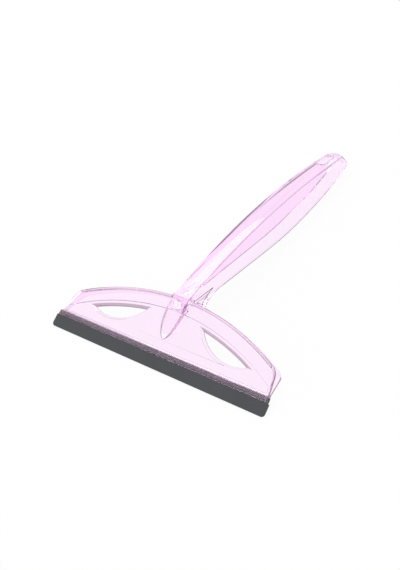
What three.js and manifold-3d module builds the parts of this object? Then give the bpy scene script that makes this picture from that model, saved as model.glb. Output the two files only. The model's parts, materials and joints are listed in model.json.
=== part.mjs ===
// Window squeegee: a clear moulded head, a clear moulded handle, a rubber blade and one screw.
//
// Sizes are millimetres and degrees. The pieces are drawn in the head's own frame: X runs along
// the blade, Y runs up the front plate from the wiping edge, and Z points out of the front face.
// The whole object is then laid on its back, on the wiping edge and the belly of the handle.
import * as THREE from 'three';
import { mergeVertices } from 'three/addons/utils/BufferGeometryUtils.js';
import Module from 'manifold-3d';

const wasm = await Module();
wasm.setup();

// Clearance between pieces that seat on each other.
const FIT_GAP = 0.3;

// Head: outline of the front plate.
const ARCH_CROWN = 64.5;
const ARCH_RADIUS = 268;
const JAW_BOTTOM = 11.5;
const JAW_HALF_WIDTH = 122.5;
const SHOULDER_HALF_WIDTH = 118.2;
const SHOULDER_HEIGHT = 34.5;
const SHOULDER_FILLET = 6;

// Head: walls and depths.
const SKIRT_DEPTH = 10.5;
const SKIRT_WALL = 2.2;
const PLATE_THICKNESS = 2.2;
const BROW_STEP = 1;
const BROW_WIDTH = 12.7;
const SIDE_BORDER = 2.4;

// Head: bead along the arch, which stops short of the handle.
const RIM_BEAD_INSET = 0.4;
const RIM_BEAD_WIDTH = 2;
const RIM_BEAD_HEIGHT = 0.8;
const RIM_BEAD_STOP = 3;

// Head: lens-shaped windows between the brow and a lower arc.
const WINDOW_CENTRE_X = 71.7;
const WINDOW_CENTRE_HEIGHT = 76.8;
const WINDOW_RADIUS = 49.3;
const WINDOW_BELOW_BROW = 2.4;
const WINDOW_BEVEL = 2.3;
const WINDOW_LAND = 0.55;

// Head: jaw that holds the blade's bead.
const JAW_HEIGHT = 6.5;
const JAW_SLOPE = 2.2;
const JAW_FORWARD = 2.8;
const LIP_WALL = 1.2;
const LIP_HOOK_HEIGHT = 0.9;

// Blade.
const BLADE_BEAD_WIDTH = 3.6;
const BLADE_BEAD_HEIGHT = 3;
const BLADE_NECK_WIDTH = 2.2;
const BLADE_ROOT_THICKNESS = 6.2;
const BLADE_EDGE_THICKNESS = 2;
const BLADE_OVERHANG = 0.4;
const BLADE_END_FLARE = 3;
const BLADE_CORNER = 4.5;

// Handle: side profile.
const FRONT_ANGLE = 17;
const FRONT_RADIUS = 640;
const FRONT_LENGTH = 220;
const FRONT_RISE = 2.6;
const BACK_ANGLE = 32;
const BELLY_LENGTH = 125;
const BELLY_RADIUS = 320;
const REST_LAND = 16;
const TIP_DROP = 1.6;
const HEEL_RISE = 1.6;
const FOOT_LIFT = 1.5;

// Handle: width and walls.
const NECK_HALF_WIDTH = 8.8;
const GRIP_HALF_WIDTH = 10.4;
const TIP_HALF_WIDTH = 9.2;
const TIP_CORNER = 6.5;
const TIP_FULLNESS = 2.4;
const GRIP_WALL = 2.4;
const CROWN_RISE = 2.6;
const RIDGE_START_ROUND = 0.2;
const RIDGE_ROUND = 1.4;
const RIDGE_RUN = 40;
const FOOT_WEB = 2.5;

// Handle: flared foot on the arch.
const FOOT_HALF_WIDTH = 20;
const FOOT_FLARE_HEIGHT = 23;
const FOOT_FLARE_DEPTH = 5.5;
const FOOT_FLARE_SETBACK = 0.8;
const FOOT_KNEE_HEIGHT = 8;
const FOOT_KNEE_WIDTH = 4;

// Handle: tongue over the front plate.
const TONGUE_TIP_HEIGHT = 25.5;
const TONGUE_TIP_THICKNESS = 0.8;
const TONGUE_HALF_WIDTH = 8.9;
const TONGUE_POINT_LENGTH = 24.5;
const TONGUE_POINT_RISE = 4.9;
const TONGUE_POINT_FULLNESS = 0.87;
const TONGUE_CREST = 6.2;

// Handle: hanging slot.
const SLOT_LENGTH = 19;
const SLOT_WIDTH = 8.4;
const SLOT_CORNER = 3.4;
const SLOT_FROM_TIP = 7.5;

// Screw and its seat.
const SCREW_BELOW_CROWN = 8.2;
const SCREW_HEAD_DIAMETER = 7.8;
const SCREW_HEAD_HEIGHT = 1.3;
const SCREW_HEAD_CHAMFER = 0.43;
const SCREW_SHANK_DIAMETER = 3.4;
const SCREW_LENGTH = 10.5;
const SCREW_POINT_DIAMETER = 1.7;
const SCREW_POINT_LENGTH = 1.7;
const SCREW_CROSS_LENGTH = 4;
const SCREW_CROSS_WIDTH = 0.9;
const SCREW_CROSS_DEPTH = 0.8;
const COUNTERBORE_DIAMETER = 10.6;
const TONGUE_UNDER_SCREW = 1.5;
const BOSS_WALL = 2.4;
const BOSS_LENGTH = 6;

// Number of steps on long arcs, on full circles, on small corners and across the grip.
const ARC_STEPS = 20;
const ROUND_STEPS = 32;
const CORNER_STEPS = 5;
const CROWN_STEPS = 12;

// Points closer than this are one point, and bevel cutters are this many times as deep as the bevel.
const MERGE_TOLERANCE = 0.0001;
const BEVEL_REACH = 1.2;

// Sizes that follow from the ones above.
const RADIAN = Math.PI / 180;
const ARCH_CENTRE = ARCH_CROWN - ARCH_RADIUS;
const CREASE_RADIUS = ARCH_RADIUS - BROW_WIDTH;
const JAW_TOP = JAW_BOTTOM + JAW_HEIGHT;
const SOCKET_WIDTH = BLADE_BEAD_WIDTH + 2 * FIT_GAP;
const SOCKET_HEIGHT = LIP_HOOK_HEIGHT + BLADE_BEAD_HEIGHT + 2 * FIT_GAP;
const JAW_DEPTH = SOCKET_WIDTH + 2 * LIP_WALL;
const JAW_BACK = JAW_FORWARD - JAW_DEPTH;
const BLADE_PLANE = JAW_FORWARD - JAW_DEPTH / 2;
const PLATE_FRONT = -BROW_STEP;
const PLATE_BACK = PLATE_FRONT - PLATE_THICKNESS;
const SCREW_HEIGHT = ARCH_CROWN - SCREW_BELOW_CROWN;
const SCREW_HOLE_DIAMETER = SCREW_SHANK_DIAMETER + 2 * FIT_GAP;
const COUNTERBORE_FLOOR = FIT_GAP + TONGUE_UNDER_SCREW;
const BACK_STRAIGHT = FRONT_LENGTH - BELLY_LENGTH;

// Reach of the cutting solids, longer than any piece.
const FAR = 2 * FRONT_LENGTH;

// Makes a solid from a closed geometry, for joining and cutting.
function solid(geometry) {
  const bare = geometry.clone();
  bare.deleteAttribute('normal');
  bare.deleteAttribute('uv');
  const merged = mergeVertices(bare, MERGE_TOLERANCE);
  const mesh = new wasm.Mesh({
    numProp: 3,
    vertProperties: new Float32Array(merged.attributes.position.array),
    triVerts: new Uint32Array(merged.index.array),
  });
  return new wasm.Manifold(mesh);
}

// Extrudes a front outline from one depth to another.
function frontSolid(shape, low, high) {
  const geometry = new THREE.ExtrudeGeometry(shape, {
    depth: high - low,
    bevelEnabled: false,
    curveSegments: ARC_STEPS,
  });
  geometry.translate(0, 0, low);
  return solid(geometry);
}

// Extrudes a side section, drawn as height and depth, across the given width.
function sideSolid(shape, width) {
  const geometry = new THREE.ExtrudeGeometry(shape, {
    depth: width,
    bevelEnabled: false,
    curveSegments: ARC_STEPS,
  });
  geometry.translate(0, 0, -width / 2);
  const alongHeight = new THREE.Vector3(0, 1, 0);
  const alongDepth = new THREE.Vector3(0, 0, 1);
  const alongBlade = new THREE.Vector3(1, 0, 0);
  geometry.applyMatrix4(new THREE.Matrix4().makeBasis(alongHeight, alongDepth, alongBlade));
  return solid(geometry);
}

// Makes a shape from a list of [x, y] corners.
function polygon(corners) {
  return new THREE.Shape(corners.map(([x, y]) => new THREE.Vector2(x, y)));
}

// A round bar along the depth, centred on the screw.
function screwBar(diameter, low, high) {
  const geometry = new THREE.CylinderGeometry(diameter / 2, diameter / 2, high - low, ROUND_STEPS);
  geometry.rotateX(Math.PI / 2);
  geometry.translate(0, SCREW_HEIGHT, (low + high) / 2);
  return solid(geometry);
}

// The head's front outline, drawn in by an inset all round, with its lower edge at floor.
function headOutline(inset, floor) {
  const radius = ARCH_RADIUS - inset;
  const lean = (JAW_HALF_WIDTH - SHOULDER_HALF_WIDTH) / (SHOULDER_HEIGHT - JAW_BOTTOM);
  const sideAt = (height) => JAW_HALF_WIDTH - inset - lean * (height - JAW_BOTTOM);
  const cornerHeight = ARCH_CENTRE + Math.sqrt(radius ** 2 - sideAt(SHOULDER_HEIGHT) ** 2);
  const corner = sideAt(cornerHeight);
  const archEnd = corner - SHOULDER_FILLET;
  const archAngle = Math.acos(archEnd / radius);
  const archEndHeight = ARCH_CENTRE + radius * Math.sin(archAngle);
  const filletFoot = cornerHeight - SHOULDER_FILLET;
  const shape = new THREE.Shape();
  shape.moveTo(-sideAt(floor), floor);
  shape.lineTo(sideAt(floor), floor);
  shape.lineTo(sideAt(filletFoot), filletFoot);
  shape.quadraticCurveTo(corner, cornerHeight, archEnd, archEndHeight);
  shape.absarc(0, ARCH_CENTRE, radius, archAngle, Math.PI - archAngle, false);
  shape.quadraticCurveTo(-corner, cornerHeight, -sideAt(filletFoot), filletFoot);
  shape.closePath();
  return shape;
}

// The region under an arc about the arch's centre, over the given half width.
function underArch(radius, halfWidth) {
  const angle = Math.acos(halfWidth / radius);
  const shape = new THREE.Shape();
  shape.absarc(0, ARCH_CENTRE, radius, angle, Math.PI - angle, false);
  shape.lineTo(-halfWidth, -FAR);
  shape.lineTo(halfWidth, -FAR);
  shape.closePath();
  return shape;
}

// A band between two radii about the arch's centre, over the given half width.
function archBand(innerRadius, outerRadius, halfWidth) {
  const innerAngle = Math.acos(halfWidth / innerRadius);
  const outerAngle = Math.acos(halfWidth / outerRadius);
  const shape = new THREE.Shape();
  shape.absarc(0, ARCH_CENTRE, outerRadius, outerAngle, Math.PI - outerAngle, false);
  shape.absarc(0, ARCH_CENTRE, innerRadius, Math.PI - innerAngle, innerAngle, true);
  shape.closePath();
  return shape;
}

// Points of a lens between the arch's circle of one radius and the window's circle of another.
function lensPoints(topRadius, lowerRadius) {
  const rise = WINDOW_CENTRE_HEIGHT - ARCH_CENTRE;
  const span = Math.hypot(WINDOW_CENTRE_X, rise);
  const aim = Math.atan2(rise, WINDOW_CENTRE_X);
  const reach = (topRadius ** 2 - lowerRadius ** 2 + span ** 2) / (2 * span);
  const topHalfAngle = Math.acos(reach / topRadius);
  const lowerHalfAngle = Math.acos((span - reach) / lowerRadius);
  const points = [];
  for (let i = 0; i < ARC_STEPS; i += 1) {
    const angle = aim - topHalfAngle + (2 * topHalfAngle * i) / ARC_STEPS;
    const x = topRadius * Math.cos(angle);
    points.push(new THREE.Vector2(x, ARCH_CENTRE + topRadius * Math.sin(angle)));
  }
  for (let i = 0; i < ARC_STEPS; i += 1) {
    const angle = aim + Math.PI - lowerHalfAngle + (2 * lowerHalfAngle * i) / ARC_STEPS;
    const x = WINDOW_CENTRE_X + lowerRadius * Math.cos(angle);
    points.push(new THREE.Vector2(x, WINDOW_CENTRE_HEIGHT + lowerRadius * Math.sin(angle)));
  }
  return points;
}

// A closed solid through a row of outlines with as many points each, all placed in space.
function loftSolid(outlines) {
  const count = outlines[0].points.length;
  const last = (outlines.length - 1) * count;
  const positions = [];
  outlines.forEach(({ points, place }) => {
    points.forEach((p) => positions.push(...place(p)));
  });
  const index = [];
  THREE.ShapeUtils.triangulateShape(outlines[0].points, []).forEach(([a, b, c]) => {
    index.push(c, b, a);
  });
  THREE.ShapeUtils.triangulateShape(outlines.at(-1).points, []).forEach(([a, b, c]) => {
    index.push(a + last, b + last, c + last);
  });
  for (let row = 0; row < last; row += count) {
    for (let i = 0; i < count; i += 1) {
      const here = row + i;
      const next = row + ((i + 1) % count);
      index.push(here, next, next + count);
      index.push(here, next + count, here + count);
    }
  }
  const geometry = new THREE.BufferGeometry();
  geometry.setAttribute('position', new THREE.Float32BufferAttribute(positions, 3));
  geometry.setIndex(index);
  return solid(geometry);
}

// The same outline on the other side of the head.
function mirrored(points) {
  return points.map((p) => new THREE.Vector2(-p.x, p.y)).reverse();
}

// Cutter for one window: a straight lens through the plate and a wider bevel at the front.
function windowCutter(place) {
  const holeTop = CREASE_RADIUS - WINDOW_BELOW_BROW - WINDOW_BEVEL;
  const landTop = PLATE_BACK + WINDOW_LAND;
  const mouthDepth = landTop + (PLATE_FRONT - landTop) * BEVEL_REACH;
  const spread = WINDOW_BEVEL * BEVEL_REACH;
  const hole = place(lensPoints(holeTop, WINDOW_RADIUS));
  const mouth = place(lensPoints(holeTop + spread, WINDOW_RADIUS + spread));
  const through = frontSolid(new THREE.Shape(hole), -FAR, FAR);
  const bevel = loftSolid([
    { points: hole, place: (p) => [p.x, p.y, landTop] },
    { points: mouth, place: (p) => [p.x, p.y, mouthDepth] },
  ]);
  return through.add(bevel);
}

// Section of the jaw's channel, or of the blade's bead and neck when it is drawn in by a gap.
function beadSection(gap, mouthHeight) {
  const neck = BLADE_NECK_WIDTH / 2 + FIT_GAP - gap;
  const bead = SOCKET_WIDTH / 2 - gap;
  const hook = JAW_BOTTOM + LIP_HOOK_HEIGHT + gap;
  const top = JAW_BOTTOM + SOCKET_HEIGHT - gap;
  return polygon([
    [mouthHeight, BLADE_PLANE - neck],
    [hook, BLADE_PLANE - neck],
    [hook, BLADE_PLANE - bead],
    [top, BLADE_PLANE - bead],
    [top, BLADE_PLANE + bead],
    [hook, BLADE_PLANE + bead],
    [hook, BLADE_PLANE + neck],
    [mouthHeight, BLADE_PLANE + neck],
  ]);
}

// The head: an open-backed tray with windows, a raised brow and the jaw for the blade.
function headSolid() {
  let head = frontSolid(headOutline(0, JAW_BOTTOM), -SKIRT_DEPTH, 0);
  const pocket = frontSolid(headOutline(SKIRT_WALL, JAW_TOP), -FAR, PLATE_BACK);
  head = head.subtract(pocket);

  // The back edge of the end walls slopes from the shoulder down to the jaw.
  const backCut = polygon([
    [-FAR, -FAR],
    [SHOULDER_HEIGHT, -FAR],
    [SHOULDER_HEIGHT, -SKIRT_DEPTH],
    [JAW_TOP, JAW_BACK],
    [-FAR, JAW_BACK],
  ]);
  head = head.subtract(sideSolid(backCut, 2 * FAR));

  // The lower plate is set back from the brow and the ends.
  const inset = frontSolid(headOutline(SIDE_BORDER, JAW_TOP - JAW_SLOPE), PLATE_FRONT, FAR);
  const underBrow = frontSolid(underArch(CREASE_RADIUS, JAW_HALF_WIDTH), -FAR, FAR);
  head = head.subtract(inset.intersect(underBrow));

  // The jaw stands forward of the plate, with a sloped upper face.
  const jaw = polygon([
    [JAW_BOTTOM, JAW_BACK],
    [JAW_TOP, JAW_BACK],
    [JAW_TOP, PLATE_FRONT],
    [JAW_TOP - JAW_SLOPE, JAW_FORWARD],
    [JAW_BOTTOM, JAW_FORWARD],
  ]);
  const jawEnds = frontSolid(headOutline(0, JAW_BOTTOM), -FAR, FAR);
  head = head.add(sideSolid(jaw, 2 * FAR).intersect(jawEnds));

  // The rim bead runs along the arch on both sides of the handle's tongue.
  const beadReach = SHOULDER_HALF_WIDTH - SHOULDER_FILLET;
  const beadOuter = ARCH_RADIUS - RIM_BEAD_INSET;
  const beadBand = archBand(beadOuter - RIM_BEAD_WIDTH, beadOuter, beadReach);
  const beadStop = new THREE.BoxGeometry(2 * (TONGUE_HALF_WIDTH + RIM_BEAD_STOP), FAR, FAR);
  const bead = frontSolid(beadBand, -BROW_STEP, RIM_BEAD_HEIGHT);
  head = head.add(bead.subtract(solid(beadStop)));

  head = head.subtract(windowCutter((points) => points));
  head = head.subtract(windowCutter(mirrored));

  const boss = screwBar(SCREW_HOLE_DIAMETER + 2 * BOSS_WALL, PLATE_BACK - BOSS_LENGTH, PLATE_FRONT);
  head = head.add(boss).subtract(screwBar(SCREW_HOLE_DIAMETER, -FAR, FAR));

  const channel = sideSolid(beadSection(0, JAW_BOTTOM - JAW_HEIGHT), 2 * FAR);
  return head.subtract(channel);
}

// The blade: a bead and neck in the channel, and a tapered lip with slanted, rounded ends.
function bladeSolid() {
  const root = JAW_BOTTOM - FIT_GAP;
  const top = JAW_BOTTOM + SOCKET_HEIGHT;
  const lip = polygon([
    [0, BLADE_PLANE - BLADE_EDGE_THICKNESS / 2],
    [root, BLADE_PLANE - BLADE_ROOT_THICKNESS / 2],
    [root, BLADE_PLANE + BLADE_ROOT_THICKNESS / 2],
    [0, BLADE_PLANE + BLADE_EDGE_THICKNESS / 2],
  ]);
  const body = sideSolid(lip, 2 * FAR).add(sideSolid(beadSection(FIT_GAP, root / 2), 2 * FAR));

  const topHalf = JAW_HALF_WIDTH + BLADE_OVERHANG;
  const edgeHalf = topHalf + BLADE_END_FLARE;
  const slope = BLADE_END_FLARE / top;
  const ends = new THREE.Shape();
  ends.moveTo(-edgeHalf + BLADE_CORNER, 0);
  ends.lineTo(edgeHalf - BLADE_CORNER, 0);
  ends.quadraticCurveTo(edgeHalf, 0, edgeHalf - slope * BLADE_CORNER, BLADE_CORNER);
  ends.lineTo(topHalf, top);
  ends.lineTo(-topHalf, top);
  ends.lineTo(-edgeHalf + slope * BLADE_CORNER, BLADE_CORNER);
  ends.quadraticCurveTo(-edgeHalf, 0, -edgeHalf + BLADE_CORNER, 0);
  return body.intersect(frontSolid(ends, -FAR, FAR));
}

// Where the front of the handle starts above the arch, and the centre of its long curve.
const frontStart = new THREE.Vector2(ARCH_CROWN + FOOT_LIFT, FRONT_RISE);
const frontStartAngle = (90 - FRONT_ANGLE) * RADIAN;
const frontCentre = new THREE.Vector2(
  frontStart.x - FRONT_RADIUS * Math.cos(frontStartAngle),
  frontStart.y - FRONT_RADIUS * Math.sin(frontStartAngle),
);

// Angle about the front curve's centre after a given length along the front of the handle.
function frontAngle(length) {
  return frontStartAngle - length / FRONT_RADIUS;
}

// Point at that length, at a given depth under the front surface.
function frontPoint(length, depth) {
  const angle = frontAngle(length);
  return new THREE.Vector2(
    frontCentre.x + (FRONT_RADIUS - depth) * Math.cos(angle),
    frontCentre.y + (FRONT_RADIUS - depth) * Math.sin(angle),
  );
}

// The back of the handle: a straight run up from the foot, then the belly's arc.
const backStart = new THREE.Vector2(ARCH_CROWN + FOOT_LIFT, -SKIRT_DEPTH);
const backBend = new THREE.Vector2(
  backStart.x + BACK_STRAIGHT * Math.cos(BACK_ANGLE * RADIAN),
  backStart.y - BACK_STRAIGHT * Math.sin(BACK_ANGLE * RADIAN),
);
const bellyCentre = new THREE.Vector2(
  backBend.x + BELLY_RADIUS * Math.sin(BACK_ANGLE * RADIAN),
  backBend.y + BELLY_RADIUS * Math.cos(BACK_ANGLE * RADIAN),
);

// The object lies on the wiping edge and on the belly: this is the slope of the line under both.
const wipingEdge = new THREE.Vector2(0, BLADE_PLANE - BLADE_EDGE_THICKNESS / 2);
const toBelly = bellyCentre.clone().sub(wipingEdge);
const REST_PITCH = Math.asin(BELLY_RADIUS / toBelly.length()) - toBelly.angle();

// The flat on the belly that the object lies on, and the centre of the arc after it.
const restStart = new THREE.Vector2(
  bellyCentre.x - BELLY_RADIUS * Math.sin(REST_PITCH),
  bellyCentre.y - BELLY_RADIUS * Math.cos(REST_PITCH),
);
const landStep = new THREE.Vector2(REST_LAND * Math.cos(REST_PITCH), -REST_LAND * Math.sin(REST_PITCH));
const restEnd = restStart.clone().add(landStep);
const tipCentre = bellyCentre.clone().add(landStep);

// Height of the tip, and where its rounded corners start.
const tipHeight = frontPoint(FRONT_LENGTH, 0).x;
const tipCornerStart = tipHeight - TIP_CORNER;

// The tongue and the foot under the grip: a side profile and a front outline.
function tongueSolid() {
  const tongueFront = PLATE_FRONT + FIT_GAP + TONGUE_TIP_THICKNESS;
  const crestHeight = (frontStart.x + TONGUE_TIP_HEIGHT) / 2;
  const profile = new THREE.Shape();
  profile.moveTo(TONGUE_TIP_HEIGHT, -SKIRT_DEPTH);
  profile.lineTo(backStart.x, backStart.y);
  profile.lineTo(frontStart.x, frontStart.y);
  profile.quadraticCurveTo(crestHeight, TONGUE_CREST, TONGUE_TIP_HEIGHT, tongueFront);
  profile.closePath();

  const bend = TONGUE_TIP_HEIGHT + TONGUE_POINT_LENGTH;
  const pointControl = TONGUE_TIP_HEIGHT + TONGUE_POINT_RISE;
  const pointHalf = TONGUE_HALF_WIDTH * TONGUE_POINT_FULLNESS;
  const plan = new THREE.Shape();
  plan.moveTo(0, TONGUE_TIP_HEIGHT);
  plan.quadraticCurveTo(pointHalf, pointControl, TONGUE_HALF_WIDTH, bend);
  plan.lineTo(NECK_HALF_WIDTH, backStart.x);
  plan.lineTo(NECK_HALF_WIDTH, FAR);
  plan.lineTo(-NECK_HALF_WIDTH, FAR);
  plan.lineTo(-NECK_HALF_WIDTH, backStart.x);
  plan.lineTo(-TONGUE_HALF_WIDTH, bend);
  plan.quadraticCurveTo(-pointHalf, pointControl, 0, TONGUE_TIP_HEIGHT);
  return sideSolid(profile, FAR).intersect(frontSolid(plan, -FAR, FAR));
}

// Share of the way round the tip's corner, from 0 below the corner to 1 at the tip.
function tipShare(height, inset) {
  return Math.min(1, Math.max(0, (height - tipCornerStart) / (TIP_CORNER - inset)));
}

// Half width of the grip at a height, drawn in by an inset.
function gripHalfWidth(height, inset) {
  const neck = NECK_HALF_WIDTH - inset;
  const end = TIP_HALF_WIDTH - inset;
  const past = tipShare(height, inset) ** TIP_FULLNESS;
  const cornerLoss = (TIP_CORNER - inset) * (1 - (1 - past) ** (1 / TIP_FULLNESS));
  const share = Math.min(1, (height - backStart.x) / (tipCornerStart - backStart.x));
  const belly = 2 * (GRIP_HALF_WIDTH - inset) - (neck + end) / 2;
  const width = neck * (1 - share) ** 2 + 2 * belly * share * (1 - share) + end * share ** 2;
  return width - cornerLoss;
}

// Depth of the back edge at a height: the straight run, the belly, the flat and the last arc.
function backDepth(height) {
  if (height <= backBend.x) {
    return backStart.y - (height - backStart.x) * Math.tan(BACK_ANGLE * RADIAN);
  }
  if (height > restStart.x && height < restEnd.x) {
    return restStart.y - (height - restStart.x) * Math.tan(REST_PITCH);
  }
  const centre = height <= restStart.x ? bellyCentre : tipCentre;
  return centre.y - Math.sqrt(BELLY_RADIUS ** 2 - (height - centre.x) ** 2);
}

// Heights of the grip's cross-sections, from the tip down to a start.
function gripHeights(start, inset) {
  const fixed = [start, backBend.x, restStart.x, restEnd.x, tipCornerStart];
  const step = (tipCornerStart - start) / ARC_STEPS;
  const heights = [...fixed];
  for (let i = 1; i < ARC_STEPS; i += 1) {
    const height = start + step * i;
    if (fixed.every((other) => Math.abs(other - height) > step / 4)) heights.push(height);
  }
  for (let k = 1; k <= CORNER_STEPS; k += 1) {
    const turn = (Math.PI / 2) * (k / CORNER_STEPS);
    heights.push(tipCornerStart + (TIP_CORNER - inset) * Math.sin(turn));
  }
  return heights.sort((a, b) => b - a);
}

// A cross-section of the grip at a height: flat sides, rounded ridges and a crowned front.
function gripSection(height, inset, ridgeRound, floor) {
  const half = gripHalfWidth(height, inset);
  const tipLoss = TIP_DROP * (1 - Math.sqrt(1 - tipShare(height, inset) ** 2));
  const radius = FRONT_RADIUS - inset;
  const front = frontCentre.y + Math.sqrt(radius ** 2 - (height - frontCentre.x) ** 2) - tipLoss;
  const turned = frontStartAngle - Math.acos((height - frontCentre.x) / FRONT_RADIUS);
  const length = FRONT_RADIUS * turned;
  const rise = (CROWN_RISE * length) / FRONT_LENGTH;
  const grown = Math.min(1, length / RIDGE_RUN);
  const round = RIDGE_START_ROUND + (ridgeRound - RIDGE_START_ROUND) * grown;
  const shoulder = half - round;
  const crown = (x) => rise * (1 - (x / half) ** 2);
  const right = [];
  for (let k = 0; k <= CORNER_STEPS; k += 1) {
    const turn = (Math.PI / 2) * (k / CORNER_STEPS);
    const lift = (round + crown(shoulder)) * Math.sin(turn);
    right.push(new THREE.Vector2(shoulder + round * Math.cos(turn), front - round + lift));
  }
  const points = [new THREE.Vector2(-half, floor), new THREE.Vector2(half, floor), ...right];
  for (let k = 1; k < CROWN_STEPS; k += 1) {
    const x = shoulder - (2 * shoulder * k) / CROWN_STEPS;
    points.push(new THREE.Vector2(x, front + crown(x)));
  }
  points.push(...mirrored(right));
  return { points, place: (p) => [p.x, height, p.y] };
}

// The outside of the grip, from the foot to the tip.
function gripSolid() {
  return loftSolid(gripHeights(backStart.x, 0).map((height) => {
    const heel = HEEL_RISE * (1 - Math.sqrt(1 - tipShare(height, 0) ** 2));
    return gripSection(height, 0, RIDGE_ROUND, backDepth(height) + heel);
  }));
}

// The hollow of the grip, open at the back, between the foot's web and the wall at the tip.
function gripPocket() {
  const heights = gripHeights(ARCH_CROWN + FOOT_WEB, GRIP_WALL);
  return loftSolid(heights.map((height) => gripSection(height, GRIP_WALL, RIDGE_ROUND / 2, -FAR)));
}

// The foot's flare on both sides of the neck, along the back edge of the grip.
function footFlare() {
  const base = ARCH_CROWN - SKIRT_WALL;
  const top = ARCH_CROWN + FOOT_FLARE_HEIGHT;
  const knee = ARCH_CROWN + FOOT_KNEE_HEIGHT;
  const kneeHalf = NECK_HALF_WIDTH + FOOT_KNEE_WIDTH;
  const plan = new THREE.Shape();
  plan.moveTo(-FOOT_HALF_WIDTH, base);
  plan.lineTo(FOOT_HALF_WIDTH, base);
  plan.quadraticCurveTo(kneeHalf, knee, NECK_HALF_WIDTH, top);
  plan.lineTo(-NECK_HALF_WIDTH, top);
  plan.quadraticCurveTo(-kneeHalf, knee, -FOOT_HALF_WIDTH, base);
  const low = FOOT_FLARE_SETBACK;
  const high = FOOT_FLARE_SETBACK + FOOT_FLARE_DEPTH;
  const band = polygon([
    [base, low - SKIRT_DEPTH],
    [backStart.x, backStart.y + low],
    [backBend.x, backBend.y + low],
    [backBend.x, backBend.y + high],
    [backStart.x, backStart.y + high],
    [base, high - SKIRT_DEPTH],
  ]);
  return frontSolid(plan, -FAR, FAR).intersect(sideSolid(band, FAR));
}

// The space that the head takes up under the handle, with the fit gap round it.
function headEnvelope() {
  const halfWidth = 2 * FOOT_HALF_WIDTH;
  const browBand = archBand(CREASE_RADIUS - FIT_GAP, ARCH_RADIUS + FIT_GAP, halfWidth);
  const plate = frontSolid(underArch(ARCH_RADIUS + FIT_GAP, halfWidth), -FAR, PLATE_FRONT + FIT_GAP);
  return plate.add(frontSolid(browBand, -FAR, FIT_GAP));
}

// The hanging slot, cut square to the front of the handle near its tip.
function slotCutter() {
  const half = SLOT_WIDTH / 2;
  const reach = SLOT_LENGTH / 2;
  const turn = Math.PI / 2;
  const shape = new THREE.Shape();
  shape.moveTo(half, SLOT_CORNER - reach);
  shape.lineTo(half, reach - SLOT_CORNER);
  shape.absarc(half - SLOT_CORNER, reach - SLOT_CORNER, SLOT_CORNER, 0, turn, false);
  shape.absarc(SLOT_CORNER - half, reach - SLOT_CORNER, SLOT_CORNER, turn, 2 * turn, false);
  shape.absarc(SLOT_CORNER - half, SLOT_CORNER - reach, SLOT_CORNER, 2 * turn, 3 * turn, false);
  shape.absarc(half - SLOT_CORNER, SLOT_CORNER - reach, SLOT_CORNER, 3 * turn, 4 * turn, false);
  const depth = FRONT_LENGTH / 2;
  const geometry = new THREE.ExtrudeGeometry(shape, {
    depth,
    bevelEnabled: false,
    curveSegments: CORNER_STEPS,
  });
  geometry.translate(0, 0, -depth / 2);
  const middle = FRONT_LENGTH - SLOT_FROM_TIP - reach;
  const angle = frontAngle(middle);
  const place = frontPoint(middle, 0);
  const across = new THREE.Vector3(1, 0, 0);
  const along = new THREE.Vector3(0, Math.sin(angle), -Math.cos(angle));
  const out = new THREE.Vector3(0, Math.cos(angle), Math.sin(angle));
  const frame = new THREE.Matrix4().makeBasis(across, along, out);
  frame.setPosition(0, place.x, place.y);
  geometry.applyMatrix4(frame);
  return solid(geometry);
}

// The handle: an open-backed grip with a foot on the arch and a tongue over the plate.
function handleSolid() {
  let handle = tongueSolid().add(gripSolid()).add(footFlare());
  handle = handle.subtract(gripPocket());
  handle = handle.subtract(headEnvelope());
  handle = handle.subtract(slotCutter());
  handle = handle.subtract(screwBar(SCREW_HOLE_DIAMETER, -FAR, FAR));
  return handle.subtract(screwBar(COUNTERBORE_DIAMETER, COUNTERBORE_FLOOR, FAR));
}

// The screw: a turned head and shank with a cross recess.
function screwSolid() {
  const shankRadius = SCREW_SHANK_DIAMETER / 2;
  const headRadius = SCREW_HEAD_DIAMETER / 2;
  const seat = COUNTERBORE_FLOOR + FIT_GAP;
  const top = seat + SCREW_HEAD_HEIGHT;
  const point = seat - SCREW_LENGTH;
  const profile = [
    [0, point],
    [SCREW_POINT_DIAMETER / 2, point],
    [shankRadius, point + SCREW_POINT_LENGTH],
    [shankRadius, seat],
    [headRadius, seat],
    [headRadius, top - SCREW_HEAD_CHAMFER],
    [headRadius - SCREW_HEAD_CHAMFER, top],
    [0, top],
  ].map(([x, y]) => new THREE.Vector2(x, y));
  const turned = new THREE.LatheGeometry(profile, ROUND_STEPS);
  turned.rotateX(Math.PI / 2);
  turned.translate(0, SCREW_HEIGHT, 0);
  let screw = solid(turned);
  [0, Math.PI / 2].forEach((turn) => {
    const bar = new THREE.BoxGeometry(SCREW_CROSS_LENGTH, SCREW_CROSS_WIDTH, 2 * SCREW_CROSS_DEPTH);
    bar.rotateZ(turn);
    bar.translate(0, SCREW_HEIGHT, top);
    screw = screw.subtract(solid(bar));
  });
  return screw;
}

// A named mesh with its own material.
function piece(name, shape, finish) {
  const mesh = shape.getMesh();
  const geometry = new THREE.BufferGeometry();
  geometry.setAttribute('position', new THREE.BufferAttribute(mesh.vertProperties, 3));
  geometry.setIndex(new THREE.BufferAttribute(mesh.triVerts, 1));
  geometry.computeVertexNormals();
  const result = new THREE.Mesh(geometry, new THREE.MeshStandardMaterial(finish));
  result.name = name;
  return result;
}

const clearPink = { color: 0xf7d6f5, roughness: 0.08, metalness: 0, transparent: true, opacity: 0.4 };
const greyRubber = { color: 0x535458, roughness: 0.7, metalness: 0 };
const screwSteel = { color: 0xc9c6cb, roughness: 0.3, metalness: 1 };

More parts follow.
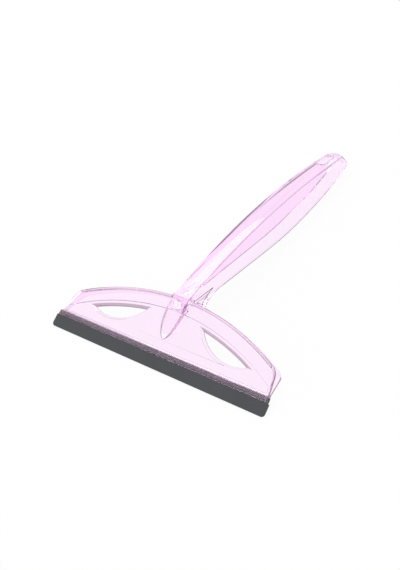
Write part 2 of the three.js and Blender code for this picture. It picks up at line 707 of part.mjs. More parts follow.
const laid = new THREE.Group();
laid.add(piece('head', headSolid(), clearPink));
laid.add(piece('handle', handleSolid(), clearPink));
laid.add(piece('blade', bladeSolid(), greyRubber));
laid.add(piece('fixing_screw', screwSolid(), screwSteel));
laid.rotation.x = REST_PITCH;
laid.updateMatrixWorld(true);

// The origin is under the middle of the object, on the surface that it lies on.
const extent = new THREE.Box3().setFromObject(laid, true);
const middle = extent.getCenter(new THREE.Vector3());
laid.position.set(-middle.x, -middle.y, -extent.min.z);

const squeegee = new THREE.Group();
squeegee.add(laid);

export default squeegee;
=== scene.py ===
"""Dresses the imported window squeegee: clear pink mouldings, a rubber blade and a plated screw."""

import json
import logging
import math
from dataclasses import dataclass
from enum import Enum

import bmesh
import bpy
from bmesh.types import BMEdge, BMesh, BMFace
from bpy.types import Material, NodeSocket, NodeTree, Object
from mathutils import Euler, Matrix, Vector


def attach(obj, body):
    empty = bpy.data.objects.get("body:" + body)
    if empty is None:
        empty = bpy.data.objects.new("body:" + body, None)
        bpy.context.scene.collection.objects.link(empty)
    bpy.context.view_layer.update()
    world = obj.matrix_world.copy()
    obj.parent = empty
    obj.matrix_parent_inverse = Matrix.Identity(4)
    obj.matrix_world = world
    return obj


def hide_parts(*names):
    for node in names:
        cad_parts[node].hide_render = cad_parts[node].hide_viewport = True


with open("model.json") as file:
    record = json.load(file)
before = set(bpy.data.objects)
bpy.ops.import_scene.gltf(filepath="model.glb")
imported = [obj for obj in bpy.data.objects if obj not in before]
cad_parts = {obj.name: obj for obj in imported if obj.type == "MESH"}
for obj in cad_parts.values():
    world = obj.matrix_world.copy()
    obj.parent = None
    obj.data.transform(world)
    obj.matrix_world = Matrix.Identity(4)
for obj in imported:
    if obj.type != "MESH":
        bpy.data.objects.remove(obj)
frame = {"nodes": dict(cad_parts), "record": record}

MM = 0.001
# Face layer of each clear face's own pink or painted shade.
SHADE_LAYER = "edge_painted_shade"
# Face layer that marks the rubber in the jaw, painted lighter as painted light.
JAW_LIGHT_LAYER = "painted_light_in_jaw"
ROUND_PROFILE = 0.5
KEEP_MATERIAL = -1
EVEN_FACES = "even_faces"
ACROSS = Vector((1.0, 0.0, 0.0))
log = logging.getLogger("squeegee")

Colour = tuple[float, float, float]
Place = tuple[float, float, float]
Stop = tuple[float, Colour]

WHITE: Colour = (1.0, 1.0, 1.0)


class Node(Enum):
    """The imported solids."""

    HEAD = "head"
    HANDLE = "handle"
    BLADE = "blade"
    SCREW = "fixing_screw"


class Body(Enum):
    """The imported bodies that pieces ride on."""

    FRAME = "frame"
    WIPER = "wiper"


class Slot(Enum):
    """The record's material slots for the pieces made here, kept on the mouldings but not applied.
    """

    CLEAR_HEAD = "clear_head"
    CLEAR_HANDLE = "clear_handle"
    BLADE_RUBBER = "blade_rubber"


class Depth(Enum):
    """A clear moulding's pink by face: PALE and PLAIN are its own, the deeper steps painted shade.
    """

    PALE = 0.0
    PLAIN = 0.2
    RIM = 0.35
    WALL = 0.55
    RIDGE = 0.6
    EDGE = 0.7
    CHAMFER = 0.8
    BAND = 0.9
    DARK = 1.0


def opaque(colour: Colour) -> tuple[float, float, float, float]:
    """Gives a colour its full alpha."""
    return (*colour, 1.0)


class NodeSheet:
    """A material's or world's node tree, with short calls to add nodes and links."""

    def __init__(self, tree: NodeTree) -> None:
        """Empties the tree.

        Args:
            tree: The node tree to fill.
        """
        self.tree = tree
        tree.nodes.clear()

    def add(self, kind: str, **settings: object) -> bpy.types.Node:
        """Adds one node.

        Args:
            kind: Blender's name for the node's type.
            settings: Properties of the node to set.

        Returns:
            The new node.
        """
        node = self.tree.nodes.new(kind)
        for name, value in settings.items():
            setattr(node, name, value)
        return node

    def link(self, source: NodeSocket, target: NodeSocket) -> None:
        """Joins an output to an input."""
        self.tree.links.new(source, target)

    def math(self, operation: str, first: NodeSocket, second: NodeSocket | float) -> NodeSocket:
        """Adds a Math node.

        Args:
            operation: The sum to do.
            first: The first value's socket.
            second: The second value, as a socket or a number.

        Returns:
            The result's socket.
        """
        node = self.add("ShaderNodeMath", operation=operation)
        self.link(first, node.inputs[0])
        if isinstance(second, NodeSocket):
            self.link(second, node.inputs[1])
        else:
            node.inputs[1].default_value = second
        return node.outputs[0]

    def ramp(self, source: NodeSocket, stops: list[Stop], blend: str = "LINEAR") -> NodeSocket:
        """Turns a value into a colour.

        Args:
            source: The value's socket.
            stops: Values with their colours, from low to high.
            blend: Blender's name for the change between stops.

        Returns:
            The colour's socket.
        """
        node = self.add("ShaderNodeValToRGB")
        band = node.color_ramp
        band.interpolation = blend
        for element, (value, colour) in zip(band.elements, (stops[0], stops[-1])):
            element.position = value
            element.color = opaque(colour)
        for value, colour in stops[1:-1]:
            band.elements.new(value).color = opaque(colour)
        self.link(source, node.inputs["Fac"])
        return node.outputs["Color"]

    def layer(self, name: str) -> NodeSocket:
        """Reads a value that the mesh keeps for each face."""
        return self.add("ShaderNodeAttribute", attribute_name=name).outputs["Fac"]

    def seen_ray(self) -> NodeSocket:
        """Finds the rays that show the background: from the camera, mirrored or passed through.

        Returns:
            A socket that is 1 for such a ray.
        """
        path = self.add("ShaderNodeLightPath").outputs
        bent = self.math("MAXIMUM", path["Is Glossy Ray"], path["Is Transmission Ray"])
        return self.math("MAXIMUM", bent, path["Is Camera Ray"])

    def noise(self, scale: float, detail: float) -> NodeSocket:
        """Adds a noise on the piece's own coordinates.

        Args:
            scale: Waves in a metre.
            detail: Octaves of finer noise.

        Returns:
            The noise value's socket.
        """
        place = self.add("ShaderNodeTexCoord")
        noise = self.add("ShaderNodeTexNoise")
        noise.inputs["Scale"].default_value = scale
        noise.inputs["Detail"].default_value = detail
        self.link(place.outputs["Object"], noise.inputs["Vector"])
        return noise.outputs["Fac"]

    def spread(self, source: NodeSocket, low: float, high: float) -> NodeSocket:
        """Maps a value from 0 to 1 on to a range.

        Args:
            source: The value's socket.
            low: Result at 0.
            high: Result at 1.

        Returns:
            The mapped value's socket.
        """
        span = self.add("ShaderNodeMapRange")
        self.link(source, span.inputs["Value"])
        span.inputs["To Min"].default_value = low
        span.inputs["To Max"].default_value = high
        return span.outputs["Result"]

    def bump(self, source: NodeSocket, strength: float, depth: float) -> NodeSocket:
        """Turns a height into a bumped normal.

        Args:
            source: The height's socket.
            strength: Share of the bump to use.
            depth: Height of the bump in metres.

        Returns:
            The normal's socket.
        """
        node = self.add("ShaderNodeBump")
        node.inputs["Strength"].default_value = strength
        node.inputs["Distance"].default_value = depth
        self.link(source, node.inputs["Height"])
        return node.outputs["Normal"]


class ShaderSheet(NodeSheet):
    """A new material's node tree, with a Principled shader on its output."""

    def __init__(self, name: str) -> None:
        """Makes the material.

        Args:
            name: The material's name.
        """
        self.material: Material = bpy.data.materials.new(name)
        self.material.use_nodes = True
        super().__init__(self.material.node_tree)
        self.output = self.add("ShaderNodeOutputMaterial")
        self.shader = self.add("ShaderNodeBsdfPrincipled")
        self.link(self.shader.outputs["BSDF"], self.output.inputs["Surface"])

    def set(self, name: str, value: float | tuple[float, float, float, float]) -> None:
        """Sets one of the shader's inputs."""
        self.shader.inputs[name].default_value = value

    def feed(self, name: str, source: NodeSocket) -> None:
        """Joins an output to one of the shader's inputs."""
        self.link(source, self.shader.inputs[name])


@dataclass(frozen=True)
class ClearPlastic:
    """Clear pink plastic, pinker where light runs far inside, with painted shade on chosen faces.
    """

    name: str
    pale_tint: Colour = (1.0, 0.985, 1.0)
    tint: Colour = (1.0, 0.872, 0.995)
    # The edge, chamfer, band and dark colours are painted shade, not the plastic's own pink.
    edge_shade_tint: Colour = (0.42, 0.27, 0.39)
    chamfer_shade_tint: Colour = (0.333, 0.217, 0.31)
    band_shade_tint: Colour = (0.90, 0.62, 0.82)
    dark_shade_colour: Colour = (0.16, 0.11, 0.15)
    milky_from: float = 0.85
    milky: float = 0.45
    # From this step up a face loses its transmission: opaque dark painted shade.
    opaque_shade_from: float = 0.95
    soak: Colour = (0.985, 0.5, 0.965)
    soak_density: float = 20.0
    trapped: Colour = (0.80, 0.66, 0.77)
    trapped_share: float = 0.22
    trapped_after: float = 3.5
    index: float = 1.46
    polish: tuple[float, float] = (0.015, 0.035)
    haze_scale: float = 60.0
    haze_detail: float = 4.0
    flow_scale: float = 22.0
    flow_detail: float = 1.0
    flow_strength: float = 0.3
    flow_depth: float = 0.00012

    def material(self) -> Material:
        """Makes the finish.

        Returns:
            The material.
        """
        sheet = ShaderSheet(self.name)
        # Each face's own pink or its painted shade, read from the face layer.
        depth = sheet.layer(SHADE_LAYER)
        sheet.feed("Base Color", sheet.ramp(depth, self.tints_and_painted_shades()))
        sheet.feed("Transmission Weight", sheet.math("LESS_THAN", depth, self.opaque_shade_from))
        sheet.set("IOR", self.index)
        self.polish_faces(sheet, depth)
        self.keep_trapped_light(sheet)
        soak = sheet.add("ShaderNodeVolumeAbsorption")
        soak.inputs["Color"].default_value = opaque(self.soak)
        soak.inputs["Density"].default_value = self.soak_density
        sheet.link(soak.outputs["Volume"], sheet.output.inputs["Volume"])
        return sheet.material

    def tints_and_painted_shades(self) -> list[Stop]:
        """Lists the ramp's stops: the plastic's pale and plain pinks, then the painted shade
        colours; the other steps lie between them.

        Returns:
            The stops of the tint's ramp.
        """
        return [
            (Depth.PALE.value, self.pale_tint),
            (Depth.PLAIN.value, self.tint),
            (Depth.EDGE.value, self.edge_shade_tint),
            (Depth.CHAMFER.value, self.chamfer_shade_tint),
            (Depth.BAND.value, self.band_shade_tint),
            (Depth.DARK.value, self.dark_shade_colour),
        ]

    def polish_faces(self, sheet: ShaderSheet, depth: NodeSocket) -> None:
        """Gives faces their polish, and the faint waves of plastic that has flowed.

        Args:
            sheet: The material's sheet.
            depth: The layer of own pink and painted shade, whose deepest steps are made milky.
        """
        haze = sheet.noise(self.haze_scale, self.haze_detail)
        milky = sheet.math("GREATER_THAN", depth, self.milky_from)
        blur = sheet.math("MULTIPLY", milky, self.milky)
        sheet.feed("Roughness", sheet.math("ADD", blur, sheet.spread(haze, *self.polish)))
        flow = sheet.noise(self.flow_scale, self.flow_detail)
        sheet.feed("Normal", sheet.bump(flow, self.flow_strength, self.flow_depth))

    def keep_trapped_light(self, sheet: ShaderSheet) -> None:
        """Stands in for the light that the renderer cuts off after many inner reflections.

        Args:
            sheet: The material's sheet.
        """
        path = sheet.add("ShaderNodeLightPath")
        trapped = sheet.math("GREATER_THAN", path.outputs["Glossy Depth"], self.trapped_after)
        sheet.feed("Emission Strength", sheet.math("MULTIPLY", trapped, self.trapped_share))
        sheet.set("Emission Color", opaque(self.trapped))
        sheet.material.cycles.emission_sampling = "NONE"


@dataclass(frozen=True)
class GreyRubber:
    """Dark grey moulded rubber with a fine dusty grain, painted lighter in the jaw as painted
    light.
    """

    name: str = "grey_rubber"
    dark: Colour = (0.062, 0.064, 0.070)
    pale: Colour = (0.078, 0.080, 0.087)
    # Painted light: the rubber in the jaw is given this lighter colour.
    covered: Colour = (0.20, 0.19, 0.205)
    roughness: tuple[float, float] = (0.55, 0.72)
    shine: float = 0.3
    cloud_scale: float = 45.0
    cloud_detail: float = 5.0
    grain_scale: float = 2600.0
    grain_detail: float = 2.0
    grain_strength: float = 0.25
    grain_depth: float = 0.00006

    def material(self) -> Material:
        """Makes the finish.

        Returns:
            The material.
        """
        sheet = ShaderSheet(self.name)
        cloud = sheet.noise(self.cloud_scale, self.cloud_detail)
        # Faces in the jaw take the lighter colour: painted light.
        shade = sheet.add("ShaderNodeMixRGB")
        sheet.link(sheet.layer(JAW_LIGHT_LAYER), shade.inputs["Fac"])
        sheet.link(sheet.ramp(cloud, [(0.0, self.dark), (1.0, self.pale)]), shade.inputs["Color1"])
        shade.inputs["Color2"].default_value = opaque(self.covered)
        sheet.feed("Base Color", shade.outputs["Color"])
        grain = sheet.noise(self.grain_scale, self.grain_detail)
        sheet.feed("Roughness", sheet.spread(grain, *self.roughness))
        sheet.feed("Normal", sheet.bump(grain, self.grain_strength, self.grain_depth))
        sheet.set("Specular IOR Level", self.shine)
        return sheet.material


@dataclass(frozen=True)
class PlatedSteel:
    """Bright plated steel with faint turning marks, its colour painted pinkish with light from the
    plastic round it.
    """

    name: str = "plated_steel"
    # Pinkish: painted pink light from the clear plastic round the screw.
    colour: Colour = (0.93, 0.86, 0.92)
    roughness: tuple[float, float] = (0.16, 0.32)
    mark_scale: float = 900.0
    mark_detail: float = 3.0

    def material(self) -> Material:
        """Makes the finish.

        Returns:
            The material.
        """
        sheet = ShaderSheet(self.name)
        sheet.set("Base Color", opaque(self.colour))
        sheet.set("Metallic", 1.0)
        marks = sheet.noise(self.mark_scale, self.mark_detail)
        sheet.feed("Roughness", sheet.spread(marks, *self.roughness))
        return sheet.material


@dataclass(frozen=True)
class WhiteFloor:
    """White paper floor that keeps a soft shadow."""

    name: str = "white_floor"
    colour: Colour = WHITE
    glow: float = 0.93

    def material(self) -> Material:
        """Makes the finish.

        Returns:
            The material.
        """
        sheet = ShaderSheet(self.name)
        sheet.set("Base Color", opaque(self.colour))
        sheet.set("Roughness", 1.0)
        sheet.set("Specular IOR Level", 0.0)
        white = sheet.add("ShaderNodeEmission")
        mix = sheet.add("ShaderNodeMixShader")
        sheet.link(sheet.math("MULTIPLY", sheet.seen_ray(), self.glow), mix.inputs["Fac"])
        sheet.link(sheet.shader.outputs["BSDF"], mix.inputs[1])
        sheet.link(white.outputs["Emission"], mix.inputs[2])
        sheet.link(mix.outputs["Shader"], sheet.output.inputs["Surface"])
        return sheet.material


def new_piece(name: str, work: BMesh, material: Material, smooth_deg: float) -> Object:
    """Makes an object at the origin from a worked mesh.

    Args:
        name: The piece's name.
        work: The mesh, which is freed.
        material: The finish.
        smooth_deg: Edges flatter than this are shaded smooth.

    Returns:
        The object.
    """
    mesh = bpy.data.meshes.new(name)
    work.to_mesh(mesh)
    work.free()
    mesh.materials.append(material)
    mesh.shade_smooth()
    mesh.set_sharp_from_angle(angle=math.radians(smooth_deg))
    piece = bpy.data.objects.new(name, mesh)
    bpy.context.scene.collection.objects.link(piece)
    return piece


def round_edges(work: BMesh, edges: list[BMEdge], width: float, steps: int,
                slide: bool = False) -> list[BMFace]:
    """Rounds edges with a bevel.

    Args:
        work: The mesh.
        edges: The edges to round.
        width: How far the round reaches from each edge.
        steps: Faces across the round.
        slide: True to let corners slide along edges that aren't rounded.

    Returns:
        The faces of the rounds.
    """
    done = bmesh.ops.bevel(work, geom=edges, offset=width, offset_type="OFFSET", affect="EDGES",
                           segments=steps, profile=ROUND_PROFILE, material=KEEP_MATERIAL,
                           loop_slide=slide)
    return done["faces"]


def even_faces(piece: Object) -> None:
    """Lets the larger faces set the smooth shading."""
    piece.modifiers.new(EVEN_FACES, "WEIGHTED_NORMAL").keep_sharp = True


def seat(piece: Object, body: Body, node: Node) -> Object:
    """Ties a piece to its body and the solid that it stands for.

    Args:
        piece: The finished piece.
        body: The body that it rides on.
        node: The solid that it replaces.

    Returns:
        The piece.
    """
    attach(piece, body.value)
    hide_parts(node.value)
    log.info("%s rides on %s and stands for %s", piece.name, body.value, node.value)
    return piece


@dataclass(frozen=True)
class HeadAxes:
    """The head's axes from the middle of the wiping edge: up the plate and out of its front."""

    edge: Vector
    up: Vector
    out: Vector

    @classmethod
    def from_record(cls) -> "HeadAxes":
        """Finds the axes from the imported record's wiping edge.

        Returns:
            The axes.
        """
        mounts = frame["record"]["mounts"]
        mount = next(item for item in mounts if item["name"] == "wiping_edge")
        up = -Vector(mount["axis"])
        return cls(Vector(mount["pos_m"]), up, ACROSS.cross(up))

    def height(self, point: Vector) -> float:
        """Measures how far a point lies up the plate."""
        return (point - self.edge).dot(self.up)

    def depth(self, point: Vector) -> float:
        """Measures how far a point lies in front of the blade's middle plane."""
        return (point - self.edge).dot(self.out)

    def place(self) -> Matrix:
        """Gives the matrix from lengths across, up and out to the object's frame."""
        turn = Matrix((ACROSS, self.up, self.out)).transposed().to_4x4()
        return Matrix.Translation(self.edge) @ turn


@dataclass
class ClearMoulding:
    """A clear moulding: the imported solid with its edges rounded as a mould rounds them."""

    name: str
    node: Node
    slot: Slot
    finish: ClearPlastic
    edge_round: float = 0.18 * MM
    full_round: float = 0.8 * MM
    edge_steps: int = 2
    crease_deg: float = 35.0
    smooth_deg: float = 25.0
    weld: float = 0.002 * MM
    flat_deg: float = 0.1
    thin: float = 0.01 * MM
    loft_sides: int = 4

    def build(self) -> Object:
        """Builds the moulding.

        Returns:
            The finished piece.
        """
        axes = HeadAxes.from_record()
        work = self.merged_solid()
        self.round_off(axes, work)
        piece = new_piece(self.name, work, self.finish.material(), self.smooth_deg)
        self.even_shading(piece)
        return seat(piece, Body.FRAME, self.node)

    def merged_solid(self) -> BMesh:
        """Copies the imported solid, with its points merged and its flat faces joined.

        Returns:
            The copy.
        """
        work = bmesh.new()
        work.from_mesh(frame["nodes"][self.node.value].data)
        bmesh.ops.remove_doubles(work, verts=work.verts, dist=self.weld)
        bmesh.ops.dissolve_limit(work, angle_limit=math.radians(self.flat_deg),
                                 verts=work.verts, edges=work.edges)
        return work

    def round_off(self, axes: HeadAxes, work: BMesh) -> None:
        """Rounds the sharp edges, and marks each face's own pink or painted shade.

        Args:
            axes: The head's axes.
            work: The mesh.
        """
        layer = work.faces.layers.float.new(SHADE_LAYER)
        for face in work.faces:
            face[layer] = self.face_tint_and_shade(axes, face).value
        crease = math.radians(self.crease_deg)
        fresh: set[BMFace] = set()
        for only_full, width in ((True, self.full_round), (False, self.edge_round)):
            sharp = [edge for edge in work.edges
                     if edge.calc_face_angle(0.0) > crease and self.rounds(axes, edge)
                     and (self.fully_rounds(axes, edge) or not only_full)
                     and fresh.isdisjoint(edge.link_faces)]
            fresh = set(round_edges(work, sharp, width, self.edge_steps, slide=True))
            for face in fresh:
                face[layer] = self.edge_painted_shade(axes, face).value

    def even_shading(self, piece: Object) -> None:
        """Shades the large flat faces flat."""
        for face in piece.data.polygons:
            face.use_smooth = face.loop_total <= self.loft_sides

    def rounds(self, axes: HeadAxes, edge: BMEdge) -> bool:
        """Tells if a sharp edge is rounded: not where a face beside it is too thin for that.

        Args:
            axes: The head's axes.
            edge: The sharp edge.

        Returns:
            True for an edge that is rounded.
        """
        widths = [2 * face.calc_area() / max(side.calc_length() for side in face.edges)
                  for face in edge.link_faces]
        return min(widths) > self.thin

    def fully_rounds(self, axes: HeadAxes, edge: BMEdge) -> bool:
        """Tells if an edge gets the full round, as few do."""
        return False

    def face_tint_and_shade(self, axes: HeadAxes, face: BMFace) -> Depth:
        """Gives a face's pink, the plain one on most, with no painted shade."""
        return Depth.PLAIN

    def edge_painted_shade(self, axes: HeadAxes, face: BMFace) -> Depth:
        """Gives a rounded edge's painted shade, the full edge line on most."""
        return Depth.EDGE


@dataclass
class HandleMoulding(ClearMoulding):
    """The handle, a lofted form with a pale tongue on the head and two long ridges."""

    edge_round: float = 0.3 * MM
    weld: float = 0.05 * MM
    flat_deg: float = 0.02
    # These limits place the painted shade: the tongue's left band, the ridge lines and the grip's
    # dark right edges.
    tongue_top: float = 54.0 * MM
    tongue_left: float = -0.6
    ridge_low: float = 66.0 * MM
    ridge_side: tuple[float, float] = (0.55, 0.92)
    inside: float = 0.2
    outer_facing: float = 0.8
    back_facing: float = -0.4
    flare_top: float = 84.0 * MM
    grip_half: float = 11.0 * MM

    def even_shading(self, piece: Object) -> None:
        """Shades the lofted faces smooth, with the larger ones kept even."""
        even_faces(piece)

    def fully_rounds(self, axes: HeadAxes, edge: BMEdge) -> bool:
        """Tells if an edge gets the full round: where an outer side meets the grip's back.

        Args:
            axes: The head's axes.
            edge: The sharp edge.

        Returns:
            True for such an edge.
        """
        middle = (edge.verts[0].co + edge.verts[1].co) / 2
        side = math.copysign(1.0, middle.x)
        outer = any(face.normal.x * side > self.outer_facing for face in edge.link_faces)
        back = any(face.normal.dot(axes.out) < self.back_facing for face in edge.link_faces)
        above_foot = axes.height(middle) > self.flare_top or abs(middle.x) > self.grip_half
        return outer and back and above_foot

    def face_tint_and_shade(self, axes: HeadAxes, face: BMFace) -> Depth:
        """Gives a face's pink and painted shade: a pale tongue with a painted shade band on its
        left side, and painted shade lines on the ridges.

        Args:
            axes: The head's axes.
            face: The face.

        Returns:
            The step of pink and painted shade.
        """
        height = axes.height(face.calc_center_median())
        if height < self.tongue_top:
            return Depth.BAND if face.normal.x < self.tongue_left else Depth.PALE
        low, high = self.ridge_side
        on_ridge = low < abs(face.normal.x) < high and face.normal.dot(axes.out) > 0.0
        return Depth.RIDGE if on_ridge and height > self.ridge_low else Depth.PLAIN

    def edge_painted_shade(self, axes: HeadAxes, face: BMFace) -> Depth:
        """Gives a rounded edge's painted shade: on the tongue's left, and dark and opaque on the
        grip's right.

        Args:
            axes: The head's axes.
            face: The edge's face.

        Returns:
            The step of pink and painted shade.
        """
        middle = face.calc_center_median()
        if axes.height(middle) < self.tongue_top:
            on_left = middle.x < 0.0 and face.normal.x < -self.inside
            return Depth.EDGE if on_left else Depth.PALE
        on_right = middle.x > 0.0 and face.normal.x > self.inside
        return Depth.DARK if on_right else Depth.PLAIN


@dataclass
class HeadMoulding(ClearMoulding):
    """The head, with painted shade on its rim, brow step and upper window walls."""

    # These limits place the painted shade on the rim, brow step, window walls and chamfers.
    wall_facing: float = -0.2
    wall_low: float = 20.0 * MM
    wall_back: float = -3.0 * MM
    opening_front: float = -1.9 * MM
    plate_front: float = -0.55 * MM
    rim_front: float = 0.6 * MM
    covered_half: float = 9.0 * MM
    jaw_top: float = 16.5 * MM

    def rounds(self, axes: HeadAxes, edge: BMEdge) -> bool:
        """Tells if a sharp edge is rounded: not under the handle's tongue, nor on the jaw.

        Args:
            axes: The head's axes.
            edge: The sharp edge.

        Returns:
            True for an edge that is rounded.
        """
        covered = all(abs(vert.co.x) < self.covered_half for vert in edge.verts)
        on_jaw = all(axes.height(vert.co) < self.jaw_top for vert in edge.verts)
        return super().rounds(axes, edge) and not covered and not on_jaw

    def face_tint_and_shade(self, axes: HeadAxes, face: BMFace) -> Depth:
        """Gives a face's pink and painted shade: painted shade on the rim and on walls that face
        down the plate, dark and opaque deep in the windows.

        Args:
            axes: The head's axes.
            face: The face.

        Returns:
            The step of pink and painted shade.
        """
        middle = face.calc_center_median()
        depth = axes.depth(middle)
        if depth > self.rim_front and axes.height(middle) > self.wall_low:
            return Depth.RIM
        if not self.looks_down(axes, face):
            return Depth.PLAIN
        if depth > self.plate_front:
            return Depth.WALL
        return Depth.DARK if depth < self.opening_front else Depth.CHAMFER

    def edge_painted_shade(self, axes: HeadAxes, face: BMFace) -> Depth:
        """Gives a rounded edge's painted shade: dark and opaque over the windows, lighter on the
        back.

        Args:
            axes: The head's axes.
            face: The edge's face.

        Returns:
            The step of pink and painted shade.
        """
        in_opening = axes.depth(face.calc_center_median()) < self.opening_front
        if in_opening and self.looks_down(axes, face):
            return Depth.DARK
        return Depth.EDGE if face.normal.dot(axes.out) > 0.0 else Depth.WALL

    def looks_down(self, axes: HeadAxes, face: BMFace) -> bool:
        """Tells if a face in front of the plate's back looks down the plate.

        Args:
            axes: The head's axes.
            face: The face.

        Returns:
            True for a face under the brow or over a window.
        """
        middle = face.calc_center_median()
        in_front = axes.height(middle) > self.wall_low and axes.depth(middle) > self.wall_back
        return in_front and face.normal.dot(axes.up) < self.wall_facing


@dataclass
class WipingBlade:
    """The rubber blade: a bead in the jaw, a neck, and a lip that tapers to the wiping edge."""

    name: str = "wiping_rubber"
    finish: GreyRubber = GreyRubber()
    edge_half: float = 1.0 * MM
    root_half: float = 3.1 * MM
    neck_half: float = 1.1 * MM
    bead_half: float = 1.8 * MM
    root_height: float = 11.2 * MM
    bead_low: float = 12.7 * MM
    bead_high: float = 15.7 * MM
    half_length: float = 125.9 * MM
    end_slope: float = 3.0 / 16.0
    corner: float = 3.4 * MM
    corner_steps: int = 8
    edge_round: float = 0.25 * MM
    edge_steps: int = 2
    crease_deg: float = 30.0
    smooth_deg: float = 40.0

    def build(self) -> Object:
        """Builds the blade.

        Returns:
            The finished piece.
        """
        work = self.bar()
        self.round_off(work)
        # Marks the faces in the jaw, which the rubber paints lighter as painted light.
        painted_light_in_jaw = work.faces.layers.float.new(JAW_LIGHT_LAYER)
        for face in work.faces:
            face[painted_light_in_jaw] = float(face.calc_center_median().y > self.root_height)
        bmesh.ops.transform(work, matrix=HeadAxes.from_record().place(), verts=work.verts)
        piece = new_piece(self.name, work, self.finish.material(), self.smooth_deg)
        even_faces(piece)
        return seat(piece, Body.WIPER, Node.BLADE)

    def bar(self) -> BMesh:
        """Draws the section out to a bar with sloping ends, in lengths across, up and out.

        Returns:
            The bar.
        """
        half = [
            (0.0, self.edge_half),
            (self.root_height, self.root_half),
            (self.root_height, self.neck_half),
            (self.bead_low, self.neck_half),
            (self.bead_low, self.bead_half),
            (self.bead_high, self.bead_half),
        ]
        section = half + [(height, -depth) for height, depth in reversed(half)]
        work = bmesh.new()
        ring = [work.verts.new((-self.half_length, height, depth)) for height, depth in section]
        first = work.faces.new(ring)
        bmesh.ops.extrude_face_region(work, geom=[first])
        work.verts.ensure_lookup_table()
        far = work.verts[len(section):]
        bmesh.ops.translate(work, verts=far, vec=2 * self.half_length * ACROSS)
        for vert in work.verts:
            vert.co.x -= math.copysign(self.end_slope * vert.co.y, vert.co.x)
        bmesh.ops.recalc_face_normals(work, faces=work.faces)
        return work

    def round_off(self, work: BMesh) -> None:
        """Rounds the two ends of the wiping edge, and then every sharp edge a little.

        Args:
            work: The bar.
        """
        corners = [edge for edge in work.edges if all(vert.co.y == 0.0 for vert in edge.verts)
                   and edge.verts[0].co.x * edge.verts[1].co.x > 0.0]
        round_edges(work, corners, self.corner, self.corner_steps)
        crease = math.radians(self.crease_deg)
        sharp = [edge for edge in work.edges if edge.calc_face_angle(0.0) > crease]
        round_edges(work, sharp, self.edge_round, self.edge_steps)


@dataclass
class FixingScrew:
    """The screw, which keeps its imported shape."""

    node: Node = Node.SCREW
    finish: PlatedSteel = PlatedSteel()

    def dress(self) -> Object:
        """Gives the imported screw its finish.

        Returns:
            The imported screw.
        """
        screw = frame["nodes"][self.node.value]
        steel = self.finish.material()
        for holder in screw.material_slots:
            holder.material = steel
        log.info("%s keeps its packed shape, in %s", self.node.value, steel.name)
        return screw


@dataclass(frozen=True)
class Lamp:
    """A soft round lamp that points at the object."""

    name: str
    place: Place
    power: float
    width: float = 1.2

    def hang(self) -> Object:
        """Hangs the lamp.

        Returns:
            The lamp.
        """
        data = bpy.data.lights.new(self.name, "AREA")
        data.shape = "DISK"
        data.size = self.width
        data.energy = self.power
        lamp = bpy.data.objects.new(self.name, data)
        lamp.location = self.place
        lamp.rotation_euler = (-Vector(self.place)).to_track_quat("-Z", "Y").to_euler()
        bpy.context.scene.collection.objects.link(lamp)
        return lamp


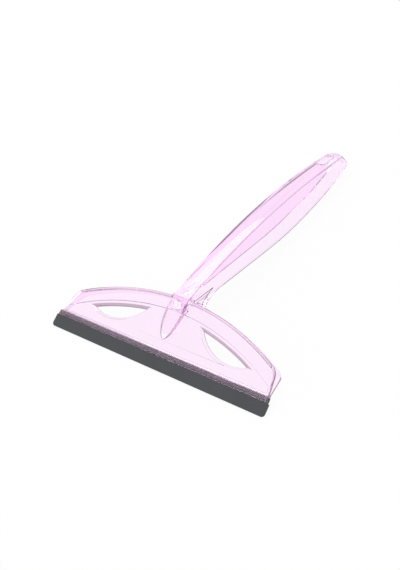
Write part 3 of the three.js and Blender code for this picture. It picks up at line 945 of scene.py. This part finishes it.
@dataclass
class Studio:
    """White floor, soft lamps, world and the camera of the photograph."""

    floor_half: float = 4.0
    floor_drop: float = 0.1 * MM
    floor_smooth_deg: float = 30.0
    lamps: tuple[Lamp, ...] = (
        Lamp("key_lamp", (-0.8, 0.5, 1.5), 8.0),
        Lamp("fill_lamp", (1.0, -1.0, 1.2), 4.0),
    )
    camera_place: Place = (0.60369, -0.47006, 0.60020)
    camera_turn_deg: Place = (49.3909, 17.7547, 41.2526)
    focal_px: float = 1100.0
    image_height_px: float = 570.0
    sensor_mm: float = 36.0
    sky_light: float = 0.9
    horizon_grey: float = 0.45
    horizon_middle: float = 0.05
    horizon_top: float = 0.14

    def build(self) -> None:
        """Builds floor, lamps, world and camera."""
        self.lay_floor()
        for lamp in self.lamps:
            lamp.hang()
        self.paint_world()
        self.place_camera()

    def lay_floor(self) -> None:
        """Lays the floor just under the object."""
        work = bmesh.new()
        bmesh.ops.create_grid(work, x_segments=1, y_segments=1, size=self.floor_half)
        bmesh.ops.translate(work, verts=work.verts, vec=Vector((0.0, 0.0, -self.floor_drop)))
        new_piece("floor", work, WhiteFloor().material(), self.floor_smooth_deg)

    def paint_world(self) -> None:
        """Paints an even sky for light, and for what shows a white one with a grey horizon."""
        world = bpy.data.worlds.new("studio")
        bpy.context.scene.world = world
        world.use_nodes = True
        sheet = NodeSheet(world.node_tree)
        output = sheet.add("ShaderNodeOutputWorld")
        light = sheet.add("ShaderNodeBackground")
        light.inputs["Strength"].default_value = self.sky_light
        seen = sheet.add("ShaderNodeBackground")
        sheet.link(self.seen_sky(sheet), seen.inputs["Color"])
        mix = sheet.add("ShaderNodeMixShader")
        sheet.link(sheet.seen_ray(), mix.inputs["Fac"])
        sheet.link(light.outputs["Background"], mix.inputs[1])
        sheet.link(seen.outputs["Background"], mix.inputs[2])
        sheet.link(mix.outputs["Shader"], output.inputs["Surface"])

    def seen_sky(self, sheet: NodeSheet) -> NodeSocket:
        """Makes the sky that shows: white to the camera, with a grey horizon in reflections.

        Args:
            sheet: The world's sheet.

        Returns:
            The colour's socket.
        """
        place = sheet.add("ShaderNodeTexCoord")
        axes = sheet.add("ShaderNodeSeparateXYZ")
        sheet.link(place.outputs["Generated"], axes.inputs["Vector"])
        grey: Colour = (self.horizon_grey, self.horizon_grey, self.horizon_grey)
        stops = [(0.0, WHITE), (self.horizon_middle, grey), (self.horizon_top, WHITE)]
        shown = sheet.add("ShaderNodeMix", data_type="RGBA")
        path = sheet.add("ShaderNodeLightPath")
        sheet.link(path.outputs["Is Camera Ray"], shown.inputs["Factor"])
        sheet.link(sheet.ramp(axes.outputs["Z"], stops, "EASE"), shown.inputs["A"])
        shown.inputs["B"].default_value = opaque(WHITE)
        return shown.outputs["Result"]

    def place_camera(self) -> None:
        """Sets up the camera as in the photograph."""
        data = bpy.data.cameras.new("camera")
        data.sensor_width = self.sensor_mm
        data.lens = self.focal_px * self.sensor_mm / self.image_height_px
        camera = bpy.data.objects.new("camera", data)
        camera.location = self.camera_place
        camera.rotation_euler = Euler([math.radians(turn) for turn in self.camera_turn_deg])
        bpy.context.scene.collection.objects.link(camera)
        bpy.context.scene.camera = camera


def main() -> None:
    """Sets the stage, then builds and dresses the squeegee."""
    logging.basicConfig(level=logging.INFO, format="%(name)s: %(message)s")
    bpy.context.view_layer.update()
    bpy.context.scene.view_settings.view_transform = "Standard"
    Studio().build()
    HeadMoulding("head_moulding", Node.HEAD, Slot.CLEAR_HEAD,
                 ClearPlastic("clear_pink_head")).build()
    HandleMoulding("handle_moulding", Node.HANDLE, Slot.CLEAR_HANDLE,
                   ClearPlastic("clear_pink_handle")).build()
    WipingBlade().build()
    FixingScrew().dress()


if __name__ == "__main__":
    main()
